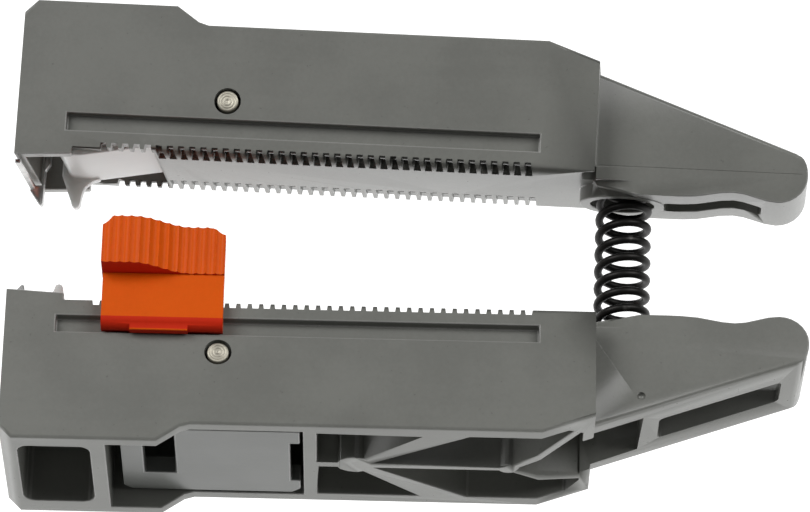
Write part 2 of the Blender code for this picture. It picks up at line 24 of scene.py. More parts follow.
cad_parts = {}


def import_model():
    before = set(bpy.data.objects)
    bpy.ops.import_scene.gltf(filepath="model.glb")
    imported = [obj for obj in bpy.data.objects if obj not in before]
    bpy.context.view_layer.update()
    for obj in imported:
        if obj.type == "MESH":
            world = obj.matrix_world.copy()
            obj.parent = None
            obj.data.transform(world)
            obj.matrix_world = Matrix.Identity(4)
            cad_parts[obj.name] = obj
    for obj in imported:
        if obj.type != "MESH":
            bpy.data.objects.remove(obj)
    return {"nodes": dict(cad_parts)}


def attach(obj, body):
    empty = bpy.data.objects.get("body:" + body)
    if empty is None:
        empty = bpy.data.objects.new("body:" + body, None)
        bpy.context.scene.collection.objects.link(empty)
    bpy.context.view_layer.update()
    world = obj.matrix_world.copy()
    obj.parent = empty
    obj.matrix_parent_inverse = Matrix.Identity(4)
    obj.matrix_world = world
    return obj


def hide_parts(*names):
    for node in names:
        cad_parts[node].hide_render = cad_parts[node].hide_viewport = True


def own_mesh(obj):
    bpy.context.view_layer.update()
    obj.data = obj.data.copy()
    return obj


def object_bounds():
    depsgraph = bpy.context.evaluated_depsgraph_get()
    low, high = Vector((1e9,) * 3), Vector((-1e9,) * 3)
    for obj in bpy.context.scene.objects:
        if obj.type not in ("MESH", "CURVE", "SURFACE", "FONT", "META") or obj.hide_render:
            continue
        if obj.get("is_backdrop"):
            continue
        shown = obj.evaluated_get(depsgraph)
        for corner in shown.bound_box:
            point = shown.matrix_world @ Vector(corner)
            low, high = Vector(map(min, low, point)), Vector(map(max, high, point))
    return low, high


LOG = logging.getLogger("cassettes")

MM = 0.001
SMOOTH_ANGLE = math.radians(50)

Colour = tuple[float, float, float]


# ---------------------------------------------------------------- node trees

class Signal:
    """A node's output that takes part in arithmetic, one Math node for each operation."""

    def __init__(self, graph: "Graph", socket: bpy.types.NodeSocket) -> None:
        """Wrap an output socket of a graph."""
        self.graph = graph
        self.socket = socket

    def math(self, operation: str, first: "Term", second: "Term" = 0.0) -> "Signal":
        """Add a Math node.

        Args:
            operation: the node's operation.
            first: its first value or signal.
            second: its second value or signal.

        Returns:
            The node's result.
        """
        return self.graph.signal("ShaderNodeMath", {"operation": operation}, {0: first, 1: second})

    def __add__(self, other: "Term") -> "Signal":
        """Sum."""
        return self.math("ADD", self, other)

    def __radd__(self, other: "Term") -> "Signal":
        """Sum with a number on the left."""
        return self.math("ADD", other, self)

    def __sub__(self, other: "Term") -> "Signal":
        """Difference."""
        return self.math("SUBTRACT", self, other)

    def __rsub__(self, other: "Term") -> "Signal":
        """Difference from a number on the left."""
        return self.math("SUBTRACT", other, self)

    def __mul__(self, other: "Term") -> "Signal":
        """Product."""
        return self.math("MULTIPLY", self, other)

    def __rmul__(self, other: "Term") -> "Signal":
        """Product with a number on the left."""
        return self.math("MULTIPLY", other, self)

    def __truediv__(self, other: "Term") -> "Signal":
        """Quotient."""
        return self.math("DIVIDE", self, other)

    def sine(self) -> "Signal":
        """Sine."""
        return self.math("SINE", self)

    def cosine(self) -> "Signal":
        """Cosine."""
        return self.math("COSINE", self)

    def size(self) -> "Signal":
        """Absolute value."""
        return self.math("ABSOLUTE", self)

    def floor(self) -> "Signal":
        """Round down."""
        return self.math("FLOOR", self)

    def between(self, low: float, high: float) -> "Signal":
        """Share of the way from low to high, kept between 0 and 1 and smoothed at both ends."""
        settings = {"interpolation_type": "SMOOTHSTEP"}
        sockets = {"Value": self, "From Min": low, "From Max": high}
        return self.graph.signal("ShaderNodeMapRange", settings, sockets)


Term = Union[Signal, float]


class Graph:
    """A shader or geometry node tree that is filled through one method."""

    def __init__(self, tree: bpy.types.NodeTree) -> None:
        """Empty the tree and take it over."""
        self.tree = tree
        tree.nodes.clear()

    def node(self, kind: str, settings: dict[str, object] | None = None,
             sockets: dict[str | int, object] | None = None) -> bpy.types.Node:
        """Add any node.

        Args:
            kind: the node's type.
            settings: its properties, set first.
            sockets: a value, signal or socket for each input, by identifier, name or number.

        Returns:
            The new node.
        """
        made = self.tree.nodes.new(kind)
        for name, value in (settings or {}).items():
            setattr(made, name, value)
        for key, value in (sockets or {}).items():
            target = made.inputs[key] if isinstance(key, int) else self.find(made.inputs, key)
            if isinstance(value, Signal):
                self.tree.links.new(value.socket, target)
            elif isinstance(value, bpy.types.NodeSocket):
                self.tree.links.new(value, target)
            else:
                target.default_value = value
        return made

    @staticmethod
    def find(sockets: Iterable[bpy.types.NodeSocket], key: str) -> bpy.types.NodeSocket:
        """The socket with that identifier, or else the first one in use with that name."""
        named = [socket for socket in sockets if socket.identifier == key]
        named += [socket for socket in sockets if socket.name == key and socket.enabled]
        return named[0]

    def signal(self, kind: str, settings: dict[str, object] | None = None,
               sockets: dict[str | int, object] | None = None, output: str | int = 0) -> Signal:
        """Add a node and return one of its outputs, by number or name."""
        made = self.node(kind, settings, sockets)
        return Signal(self, made.outputs[output])


class ShaderGraph(Graph):
    """The node tree of one material, with the patterns that several finishes share."""

    def __init__(self, name: str) -> None:
        """Make an empty material with that name."""
        self.material = bpy.data.materials.new(name)
        self.material.use_nodes = True
        super().__init__(self.material.node_tree)
        place = self.node("ShaderNodeTexCoord").outputs["Object"]
        settings = {"operation": "SCALE"}
        self.millimetres = self.signal("ShaderNodeVectorMath", settings, {0: place, "Scale": 1 / MM})

    def stretched(self, factors: Sequence[float]) -> Signal:
        """The place on the piece in millimetres, with each axis multiplied by its factor."""
        sockets = {0: self.millimetres, 1: tuple(factors)}
        return self.signal("ShaderNodeVectorMath", {"operation": "MULTIPLY"}, sockets)

    def noise(self, pitch: float, detail: float = 2.0, along: Sequence[float] = (1.0, 1.0, 1.0),
              seed: float = 0.0) -> Signal:
        """Noise between 0 and 1.

        Args:
            pitch: distance between its patches, in millimetres.
            detail: number of finer layers.
            along: factor of each axis, below 1 to draw the patches out along it.
            seed: shifts the pattern.

        Returns:
            The noise.
        """
        sockets = {"Vector": self.stretched(along), "W": seed, "Scale": 1 / pitch, "Detail": detail}
        return self.signal("ShaderNodeTexNoise", {"noise_dimensions": "4D"}, sockets)

    def mix(self, share: Term, first: Signal | Colour, second: Signal | Colour) -> Signal:
        """Blend two colours."""
        sockets = {"Factor_Float": share}
        for key, colour in (("A_Color", first), ("B_Color", second)):
            sockets[key] = colour if isinstance(colour, Signal) else (*colour, 1.0)
        return self.signal("ShaderNodeMix", {"data_type": "RGBA"}, sockets, output=2)

    def bump(self, height: Signal, depth: float) -> Signal:
        """Normal of a surface whose height signal spans that depth in millimetres."""
        sockets = {"Height": height, "Distance": depth * MM, "Strength": 1.0}
        return self.signal("ShaderNodeBump", None, sockets)

    def finish(self, sockets: dict[str, object]) -> bpy.types.Material:
        """Add the Principled shader with its sockets, join it to the output, return the material."""
        shader = self.node("ShaderNodeBsdfPrincipled", None, sockets)
        self.node("ShaderNodeOutputMaterial", None, {"Surface": shader.outputs[0]})
        return self.material


# ---------------------------------------------------------------- finishes

@dataclass(frozen=True)
class MouldedPlastic:
    """Injection-moulded plastic: spark-eroded grain, soft mottling and faint flow streaks."""

    name: str
    slot: str
    colour: Colour
    shade: float = 0.86             # darkest part of the mottling, as a share of the colour
    roughness: float = 0.46
    roughness_span: float = 0.1     # from the smoothest speck to the roughest
    mottle_pitch: float = 9.0       # pitches and depths are in millimetres
    speckle_pitch: float = 0.35
    streak_pitch: float = 1.1
    grain_pitch: float = 0.16
    grain_depth: float = 0.006
    scatter: float = 0.0            # subsurface weight
    scatter_reach: Colour = (1.0, 0.4, 0.2)
    scatter_depth: float = 0.6
    refraction: float = 1.5

    def build(self) -> bpy.types.Material:
        """Make the material."""
        graph = ShaderGraph(self.name)
        mottle = graph.noise(self.mottle_pitch, 3.0).between(0.3, 0.7)
        speckle = graph.noise(self.speckle_pitch, 1.0, seed=2.0)
        streak = graph.noise(self.streak_pitch, 2.0, along=(0.05, 1.0, 1.0), seed=5.0)
        tone = 0.4 * mottle + 0.35 * speckle + 0.25 * streak
        dark = tuple(part * self.shade for part in self.colour)
        grain = graph.noise(self.grain_pitch, 2.0, seed=9.0)
        return graph.finish({
            "Base Color": graph.mix(tone.between(0.2, 0.8), dark, self.colour),
            "Roughness": self.roughness - self.roughness_span / 2 + self.roughness_span * speckle,
            "IOR": self.refraction,
            "Subsurface Weight": self.scatter,
            "Subsurface Radius": self.scatter_reach,
            "Subsurface Scale": self.scatter_depth * MM,
            "Normal": graph.bump(grain, self.grain_depth),
        })


@dataclass(frozen=True)
class GroundSteel:
    """Bright steel with fine grinding lines."""

    name: str
    slot: str
    colour: Colour
    roughness: float = 0.3
    roughness_span: float = 0.12
    line_pitch: float = 0.05
    line_depth: float = 0.002
    stain_pitch: float = 1.6
    stained: float = 0.72           # darkest stain, as a share of the colour
    lie: Colour = (0.04, 1.0, 1.0)  # lines run along the axis with the small factor

    def build(self) -> bpy.types.Material:
        """Make the material."""
        graph = ShaderGraph(self.name)
        lines = graph.noise(self.line_pitch, 2.0, along=self.lie)
        stain = graph.noise(self.stain_pitch, 3.0, seed=3.0).between(0.35, 0.75)
        dark = tuple(part * self.stained for part in self.colour)
        return graph.finish({
            "Base Color": graph.mix(stain, dark, self.colour),
            "Metallic": 1.0,
            "Roughness": self.roughness + self.roughness_span * lines,
            "Normal": graph.bump(lines, self.line_depth),
        })


@dataclass(frozen=True)
class BlackedWire:
    """Spring wire with a black phosphate skin that is rubbed bright in places."""

    name: str
    slot: str
    colour: Colour
    rubbed: Colour
    roughness: float = 0.36
    roughness_span: float = 0.14
    skin_pitch: float = 0.3
    skin_depth: float = 0.004
    rub_pitch: float = 1.4
    metallic: float = 0.75

    def build(self) -> bpy.types.Material:
        """Make the material."""
        graph = ShaderGraph(self.name)
        skin = graph.noise(self.skin_pitch, 3.0)
        rub = graph.noise(self.rub_pitch, 2.0, seed=4.0).between(0.62, 0.8)
        return graph.finish({
            "Base Color": graph.mix(rub, self.colour, self.rubbed),
            "Metallic": self.metallic,
            "Roughness": self.roughness + self.roughness_span * skin,
            "Normal": graph.bump(skin, self.skin_depth),
        })


@dataclass(frozen=True)
class GlowingFloor:
    """Pale floor of a light table."""

    name: str = "floor"
    colour: Colour = (0.02, 0.02, 0.02)
    roughness: float = 0.6
    glow: float = 1.3

    def build(self) -> bpy.types.Material:
        """Make the material."""
        graph = ShaderGraph(self.name)
        return graph.finish({
            "Base Color": (*self.colour, 1.0),
            "Roughness": self.roughness,
            "Emission Color": (1.0, 1.0, 1.0, 1.0),
            "Emission Strength": self.glow,
        })


Finish = Union[MouldedPlastic, GroundSteel, BlackedWire, GlowingFloor]

HOUSING = MouldedPlastic("housing_plastic", "housing", (0.2, 0.203, 0.186), roughness=0.3)
# Lighter copy of the housing plastic for its rounded edges: painted highlight along the edges,
# together with edge wear.
HOUSING_EDGE_HIGHLIGHT_AND_WEAR = MouldedPlastic("housing_edge", "housing", (0.28, 0.28, 0.265), roughness=0.3)
HOLDER = MouldedPlastic("holder_plastic", "holder", (0.163, 0.169, 0.159), roughness=0.32)
# Lighter copy of the holder plastic for its rounded edges: painted highlight along the edges, together
# with edge wear.
HOLDER_EDGE_HIGHLIGHT_AND_WEAR = MouldedPlastic("holder_edge", "holder", (0.3, 0.305, 0.295), roughness=0.36)
CLAW = MouldedPlastic("claw_plastic", "claw", (0.62, 0.63, 0.62), shade=0.94, roughness=0.35,
                      grain_depth=0.002, scatter=0.6, scatter_reach=(0.95, 1.0, 0.97),
                      scatter_depth=2.5)
STOP = MouldedPlastic("stop_plastic", "stop", (0.76, 0.105, 0.003), shade=0.9, roughness=0.4,
                      grain_depth=0.003, scatter=0.1, scatter_reach=(1.0, 0.12, 0.02),
                      scatter_depth=1.2, refraction=1.22)
# Deep red for the stop's faces that turn to the back and those below its leg's rounded end: painted
# shade.
STOP_PAINTED_SHADE = MouldedPlastic("stop_painted_shade", "stop", (0.62, 0.026, 0.006), shade=0.85, roughness=0.6,
                            grain_depth=0.003, refraction=1.2)
BLADE_STEEL = GroundSteel("blade_steel", "steel", (0.72, 0.72, 0.71), lie=(1.0, 0.05, 1.0))
PIN_STEEL = GroundSteel("pin_steel", "steel", (0.62, 0.59, 0.5), roughness=0.5)
WIRE = BlackedWire("spring_wire", "spring", (0.018, 0.017, 0.016), (0.12, 0.115, 0.11))


# ---------------------------------------------------------------- meshes

def evaluated(made: bpy.types.Object) -> bpy.types.Mesh:
    """Return the object's mesh with its modifiers in it."""
    bpy.context.view_layer.update()
    graph = bpy.context.evaluated_depsgraph_get()
    return bpy.data.meshes.new_from_object(made.evaluated_get(graph), depsgraph=graph)


def linked(name: str, mesh: BMesh, matrix: Matrix | None = None) -> bpy.types.Object:
    """Link a bmesh to the scene as an object at the origin.

    Args:
        name: the object's name.
        mesh: its shape, which is used up.
        matrix: moves the mesh from its drawing to metres in the frame.

    Returns:
        The new object.
    """
    if matrix is not None:
        mesh.transform(matrix)
    data = bpy.data.meshes.new(name)
    mesh.to_mesh(data)
    mesh.free()
    made = bpy.data.objects.new(name, data)
    bpy.context.scene.collection.objects.link(made)
    return made


def closed_copy(node: bpy.types.Object) -> BMesh:
    """Copy a CAD node as one closed mesh, with its flat faces joined and its slivers closed."""
    weld = 0.002 * MM
    sliver = 0.015 * MM
    flat = math.radians(0.6)
    mesh = bmesh.new()
    mesh.from_mesh(node.data)
    bmesh.ops.remove_doubles(mesh, verts=mesh.verts, dist=weld)
    bmesh.ops.dissolve_limit(mesh, angle_limit=flat, verts=mesh.verts, edges=mesh.edges)
    bmesh.ops.remove_doubles(mesh, verts=mesh.verts, dist=sliver)
    bmesh.ops.dissolve_degenerate(mesh, edges=mesh.edges, dist=sliver)
    return mesh


def broken_edges(made: bpy.types.Object, width: float, edge_finish: int = 0) -> None:
    """Round the sharp edges of an object's mesh, less where neighbouring edges are close.

    Args:
        made: an object with a closed mesh in metres.
        width: width of the rounding in millimetres.
        edge_finish: number of the material of the rounded edges.
    """
    sharp = math.radians(28)
    room_share = 0.38
    too_close = 0.6 * MM
    mesh = bmesh.new()
    mesh.from_mesh(made.data)
    weight = mesh.edges.layers.float.new("bevel_weight_edge")
    for edge in mesh.edges:
        if len(edge.link_faces) != 2 or edge.calc_face_angle() < sharp:
            continue
        beside = {near for vertex in edge.verts for near in vertex.link_edges if near is not edge}
        room = min(near.calc_length() for near in beside)
        if room > too_close:
            edge[weight] = min(1.0, room_share * room / (width * MM))
    mesh.to_mesh(made.data)
    mesh.free()
    bevel = made.modifiers.new("edges", "BEVEL")
    bevel.limit_method = "WEIGHT"
    bevel.width = width * MM
    bevel.segments = 2
    bevel.use_clamp_overlap = False
    bevel.material = edge_finish
    smoothed(baked(made))


def baked(made: bpy.types.Object) -> bpy.types.Object:
    """Put the modifiers' result into the object's mesh and remove them."""
    result = evaluated(made)
    made.modifiers.clear()
    made.data = result
    return made


def smoothed(made: bpy.types.Object) -> None:
    """Shade an object smooth up to the largest angle that counts as round, and large faces flat."""
    made.data.shade_smooth()
    made.data.set_sharp_from_angle(angle=SMOOTH_ANGLE)
    normals = made.modifiers.new("normals", "WEIGHTED_NORMAL")
    normals.weight = 90
    normals.keep_sharp = True
    baked(made)


def prism(mesh: BMesh, outline: Sequence[Sequence[float]], axis: str, low: float,
          high: float) -> None:
    """Add a straight prism.

    Args:
        mesh: the shape that it goes into.
        outline: its points on the two axes that are left, in the order u, h, w.
        axis: the axis u, h or w that it runs along.
        low: where it starts.
        high: where it ends.
    """
    order = {"u": (2, 0, 1), "h": (0, 2, 1), "w": (0, 1, 2)}[axis]
    rings = []
    for level in (low, high):
        ring = []
        for point in outline:
            given = (point[0], point[1], level)
            ring.append(mesh.verts.new([given[place] for place in order]))
        rings.append(ring)
    faces = [mesh.faces.new(rings[0]), mesh.faces.new(rings[1])]
    for index in range(len(outline)):
        following = (index + 1) % len(outline)
        faces.append(mesh.faces.new((rings[0][index], rings[0][following],
                                     rings[1][following], rings[1][index])))
    bmesh.ops.recalc_face_normals(mesh, faces=faces)


def carve(base: bpy.types.Object, steps: Iterable[tuple[str, BMesh]]) -> None:
    """Change an object's mesh by Booleans.

    Args:
        base: the object.
        steps: an operation and the shape it works with, in the mesh's own units, in turn.
    """
    tools = []
    for operation, shape in steps:
        tool = linked("tool", shape)
        change = base.modifiers.new("carve", "BOOLEAN")
        change.operation = operation
        change.solver = "EXACT"
        change.object = tool
        tools.append(tool)
    baked(base)
    for tool in tools:
        bpy.data.objects.remove(tool)


# ---------------------------------------------------------------- geometry trees

class GeometryTree(Graph):
    """A Geometry Nodes tree with named inputs that ends in real, finished geometry."""

    KINDS = {float: "NodeSocketFloat", int: "NodeSocketInt", Vector: "NodeSocketVector",
             bpy.types.Material: "NodeSocketMaterial"}

    def __init__(self, name: str, inputs: dict[str, type]) -> None:
        """Make the tree.

        Args:
            name: the tree's name.
            inputs: the type of each named input.
        """
        tree = bpy.data.node_groups.new(name, "GeometryNodeTree")
        super().__init__(tree)
        tree.interface.new_socket("Geometry", in_out="OUTPUT", socket_type="NodeSocketGeometry")
        for label, kind in inputs.items():
            tree.interface.new_socket(label, in_out="INPUT", socket_type=self.KINDS[kind])
        given = self.node("NodeGroupInput")
        self.inputs = {label: Signal(self, given.outputs[label]) for label in inputs}

    def vector(self, operation: str, first: object, second: object,
               scale: Term | None = None) -> Signal:
        """Add a Vector Math node."""
        sockets = {0: first} if second is None else {0: first, 1: second}
        if scale is not None:
            sockets["Scale"] = scale
        return self.signal("ShaderNodeVectorMath", {"operation": operation}, sockets)

    def finish(self, geometry: Signal) -> None:
        """End the tree in Realize Instances and Set Material, from the input named Finish."""
        real = self.signal("GeometryNodeRealizeInstances", None, {"Geometry": geometry})
        dressed = self.signal("GeometryNodeSetMaterial", None,
                              {"Geometry": real, "Material": self.inputs["Finish"]})
        self.node("NodeGroupOutput", None, {"Geometry": dressed})

    def grow(self, name: str, values: dict[str, object]) -> bpy.types.Object:
        """Run the tree on an empty mesh.

        Args:
            name: name of the new object.
            values: a value for each named input.

        Returns:
            An object with the result as a plain mesh.
        """
        made = linked(name, bmesh.new())
        modifier = made.modifiers.new(self.tree.name, "NODES")
        modifier.node_group = self.tree
        for item in self.tree.interface.items_tree:
            if item.in_out == "INPUT":
                modifier[item.identifier] = values[item.name]
        return baked(made)


class CoilTree(GeometryTree):
    """A wire coiled round a bent middle line, whose turns stay parallel to the seat they start from.

    A spring that is pushed sideways shears: its turns keep their plane and only turn to the plane
    of the second seat over the last of its length.
    """

    TURN_START = 0.8                # share of the length from which they turn

    def __init__(self) -> None:
        """Build the tree."""
        super().__init__("coil", {
            "Start": Vector, "Start handle": Vector, "End handle": Vector, "End": Vector,
            "Start way": Vector, "End way": Vector, "Turns": float, "Coil radius": float,
            "Wire radius": float, "Steps": int, "Sides": int, "Finish": bpy.types.Material,
        })
        given = self.inputs
        line = self.signal("GeometryNodeCurvePrimitiveBezierSegment", None, {
            "Start": given["Start"], "Start Handle": given["Start handle"],
            "End Handle": given["End handle"], "End": given["End"], "Resolution": 64})
        dots = self.signal("GeometryNodeMeshLine", None, {"Count": given["Steps"]})
        wire = self.signal("GeometryNodeMeshToCurve", None, {"Mesh": dots})
        travelled = self.signal("GeometryNodeInputIndex") / (given["Steps"] - 1.0)
        sample = self.node("GeometryNodeSampleCurve", {"use_all_curves": True},
                           {"Curves": line, "Factor": travelled})
        angle = travelled * given["Turns"] * math.tau
        middle = sample.outputs["Position"]
        turned = travelled.between(self.TURN_START, 1.0)
        ahead = self.vector("ADD", self.vector("SCALE", given["Start way"], None, 1.0 - turned),
                            self.vector("SCALE", given["End way"], None, turned))
        ahead = self.vector("NORMALIZE", ahead, None)
        side = self.vector("NORMALIZE", self.vector("CROSS_PRODUCT", ahead, (0.0, 0.0, 1.0)), None)
        across = self.vector("CROSS_PRODUCT", ahead, side)
        reach = given["Coil radius"]
        offset = self.vector("ADD", self.vector("SCALE", side, None, angle.cosine() * reach),
                             self.vector("SCALE", across, None, angle.sine() * reach))
        laid = self.signal("GeometryNodeSetPosition", None,
                           {"Geometry": wire, "Position": self.vector("ADD", middle, offset)})
        section = self.signal("GeometryNodeCurvePrimitiveCircle", None,
                              {"Resolution": given["Sides"], "Radius": given["Wire radius"]})
        solid = self.signal("GeometryNodeCurveToMesh", None,
                            {"Curve": laid, "Profile Curve": section, "Fill Caps": True})
        smooth = self.signal("GeometryNodeSetShadeSmooth", None, {"Geometry": solid})
        self.finish(smooth)


class FluteTree(GeometryTree):
    """A thumb grip: an upright face that swells towards one end, with a row of hollow flutes."""

    def __init__(self) -> None:
        """Build the tree."""
        super().__init__("fluted_grip", {
            "Front": float, "Length": float, "Base": float, "Top": float, "Inner": float,
            "Face": float, "Swell": float, "Swell end": float, "Run out": float,
            "Run out start": float, "Flutes": int, "Flute depth": float, "Steps": int,
            "Finish": bpy.types.Material,
        })
        given = self.inputs
        columns = given["Flutes"] * given["Steps"] + 1.0
        slab = self.node("GeometryNodeMeshGrid", None, {"Vertices X": columns, "Vertices Y": 2})
        index = self.signal("GeometryNodeInputIndex")
        column = (index / 2.0).floor()
        outer = index - column * 2.0
        share = column / (columns - 1.0)
        fall = (share - given["Swell end"]) / (given["Run out start"] - given["Swell end"])
        fall = fall.math("MAXIMUM", fall.math("MINIMUM", fall, 1.0), 0.0)
        rounded = 1.0 + (fall * math.pi).cosine()
        swell = given["Run out"] + (given["Swell"] - given["Run out"]) * rounded / 2.0
        hollow = given["Flute depth"] * (share * given["Flutes"] * math.pi).sine().size()
        depth = given["Inner"] + outer * (given["Face"] + swell - hollow - given["Inner"])
        place = self.signal("ShaderNodeCombineXYZ", None, {
            "X": given["Front"] + given["Length"] * share, "Y": given["Base"], "Z": depth * -1.0})
        floor = self.signal("GeometryNodeSetPosition", None,
                            {"Geometry": slab.outputs["Mesh"], "Position": place})
        rise = self.signal("ShaderNodeCombineXYZ", None, {"Y": given["Top"] - given["Base"]})
        raised = self.signal("GeometryNodeExtrudeMesh", None, {
            "Mesh": floor, "Offset": rise, "Offset Scale": 1.0, "Individual": False})
        closing = self.signal("GeometryNodeFlipFaces", None, {"Mesh": floor})
        joined = self.node("GeometryNodeJoinGeometry")
        self.tree.links.new(raised.socket, joined.inputs[0])
        self.tree.links.new(closing.socket, joined.inputs[0])
        welded = self.signal("GeometryNodeMergeByDistance", None,
                             {"Geometry": joined.outputs[0], "Distance": 0.001})
        self.finish(welded)


# ---------------------------------------------------------------- the object

class Side(Enum):
    """Which of the two cassettes, by the start of its nodes' names."""

    LOWER = "lower"
    UPPER = "upper"


@dataclass
class Cassette:
    """One cassette: housing, blade, claw, holder, pin and holder spring."""

    side: Side
    nodes: dict[str, bpy.types.Object]
    coil: CoilTree
    seat_u: float = 61.9
    lower_seat: Vector = field(default_factory=lambda: Vector((31.9, 7.0, 9.0)))
    upper_seat: Vector = field(default_factory=lambda: Vector((32.1, 24.18, 11.54)))
    upper_turn: tuple[float, float, float] = (15.3, -2.7, -3.0)     # roll, pitch and swing
    pin_place: tuple[float, float] = (21.5, 5.45)
    pin_radius: float = 1.1
    pin_half: float = 8.95
    housing_edge: float = 0.14      # widths of the rounded edges
    holder_edge: float = 0.16
    claw_edge: float = 0.2
    blade_edge: float = 0.05
    tail_half: float = 5.55
    seam_box: tuple[float, float, float, float] = (59.6, 80.4, 1.36, 1.43)
    seam_depth: float = 0.05
    spring_u: float = 26.8
    spring_low: float = 3.1
    spring_high: float = 10.9
    spring_radius: float = 1.45
    spring_wire: float = 0.22
    spring_turns: float = 6.0
    spring_steps: int = 20          # steps of the wire in one turn
    spring_sides: int = 8

    def name(self, piece: str) -> str:
        """Name of one of this cassette's pieces and nodes."""
        return f"{self.side.value}_{piece}"

    @property
    def matrix(self) -> Matrix:
        """From this cassette's drawing, in millimetres, to metres in the frame."""
        if self.side is Side.LOWER:
            seat, turn = self.lower_seat, Matrix.Rotation(math.pi, 4, "X")
        else:
            roll, pitch, swing = (math.radians(angle) for angle in self.upper_turn)
            seat = self.upper_seat
            turn = (Matrix.Rotation(swing, 4, "Z") @ Matrix.Rotation(pitch, 4, "Y")
                    @ Matrix.Rotation(roll, 4, "X"))
        drawing = Matrix.Translation((-self.seat_u, 0.0, 0.0))
        return Matrix.Scale(MM, 4) @ Matrix.Translation(seat) @ turn @ drawing

    def place(self, made: bpy.types.Object, piece: str, slot: str, body: str) -> None:
        """Let a finished piece replace its node and ride on its body."""
        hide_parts(self.name(piece))
        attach(made, self.name(body))
        LOG.info("%s: %d faces", made.name, len(made.data.polygons))

    def dressed_copy(self, piece: str, body: str, width: float,
                     finishes: Sequence[MouldedPlastic | GroundSteel],
                     cuts: Sequence[BMesh] = ()) -> None:
        """Make a piece from its CAD solid, with rounded edges.

        Args:
            piece: the piece's name without the cassette's.
            body: the body it rides on, without the cassette's name.
            width: width of the rounding in millimetres.
            finishes: finish of the faces, and of the rounded edges.
            cuts: shapes in metres that are taken out of it.
        """
        node = self.nodes[self.name(piece)]
        made = linked(self.name(piece) + "_look", closed_copy(node))
        for finish in finishes:
            made.data.materials.append(shared(finish))
        carve(made, [("DIFFERENCE", cut) for cut in cuts])
        broken_edges(made, width, len(finishes) - 1)
        self.place(made, piece, finishes[0].slot, body)

    def seam(self) -> BMesh:
        """Fine groove of the mould's parting line, along the +w side of the tail."""
        u0, u1, h0, h1 = self.seam_box
        outside = 7.0
        mesh = bmesh.new()
        prism(mesh, [(u0, h0), (u1, h0), (u1, h1), (u0, h1)], "w",
              self.tail_half - self.seam_depth, outside)
        mesh.transform(self.matrix)
        return mesh

    def pin(self) -> None:
        """Turned pin: a chamfered rim and fine turning rings on both ends."""
        radius = self.pin_radius
        half = self.pin_half
        facets = 48
        weld = 0.001
        rings = [(0.0, -0.06), (0.12, -0.05), (0.2, 0.0), (0.42, 0.0), (0.48, -0.03), (0.54, 0.0),
                 (0.72, 0.0), (0.77, -0.03), (0.82, 0.0), (radius - 0.16, 0.0), (radius - 0.05, -0.05),
                 (radius, -0.16)]
        profile = [Vector((-half - lift, reach)) for reach, lift in rings]
        profile += [Vector((half + lift, reach)) for reach, lift in reversed(rings)]
        mesh = bmesh.new()
        verts = [mesh.verts.new((self.pin_place[0] + point.y, self.pin_place[1], point.x))
                 for point in profile]
        edges = [mesh.edges.new(pair) for pair in zip(verts, verts[1:])]
        centre = (*self.pin_place, 0.0)
        bmesh.ops.spin(mesh, geom=verts + edges, cent=centre, axis=(0.0, 0.0, 1.0),
                       dvec=(0.0, 0.0, 0.0), angle=math.tau, steps=facets, use_merge=True,
                       use_duplicate=False)
        bmesh.ops.remove_doubles(mesh, verts=mesh.verts, dist=weld)
        bmesh.ops.recalc_face_normals(mesh, faces=mesh.faces)
        made = linked(self.name("pivot_pin") + "_look", mesh, self.matrix)
        made.data.materials.append(shared(PIN_STEEL))
        smoothed(made)
        self.place(made, "pivot_pin", PIN_STEEL.slot, "cassette")

    def spring(self) -> None:
        """Holder spring between the floor of the bay and the holder's plate."""
        low = Vector((self.spring_u, self.spring_low, 0.0))
        high = Vector((self.spring_u, self.spring_high, 0.0))
        third = (high - low) / 3
        made = self.coil.grow(self.name("holder_spring") + "_look", {
            "Start": low, "Start handle": low + third, "End handle": high - third, "End": high,
            "Start way": third, "End way": third,
            "Turns": self.spring_turns, "Coil radius": self.spring_radius,
            "Wire radius": self.spring_wire,
            "Steps": int(self.spring_turns * self.spring_steps) + 1, "Sides": self.spring_sides,
            "Finish": shared(WIRE)})
        made.data.transform(self.matrix)
        self.place(made, "holder_spring", WIRE.slot, "cassette")

    def build(self) -> None:
        """Make every piece of the cassette."""
        # The housing and holder get lighter finishes on their rounded edges: painted highlight with
        # edge wear.
        self.dressed_copy("housing", "cassette", self.housing_edge, (HOUSING, HOUSING_EDGE_HIGHLIGHT_AND_WEAR),
                          [self.seam()])
        self.dressed_copy("blade_holder", "holder", self.holder_edge, (HOLDER, HOLDER_EDGE_HIGHLIGHT_AND_WEAR))
        self.dressed_copy("grip_claw", "holder", self.claw_edge, (CLAW,))
        self.dressed_copy("strip_blade", "cassette", self.blade_edge, (BLADE_STEEL,))
        self.pin()
        self.spring()


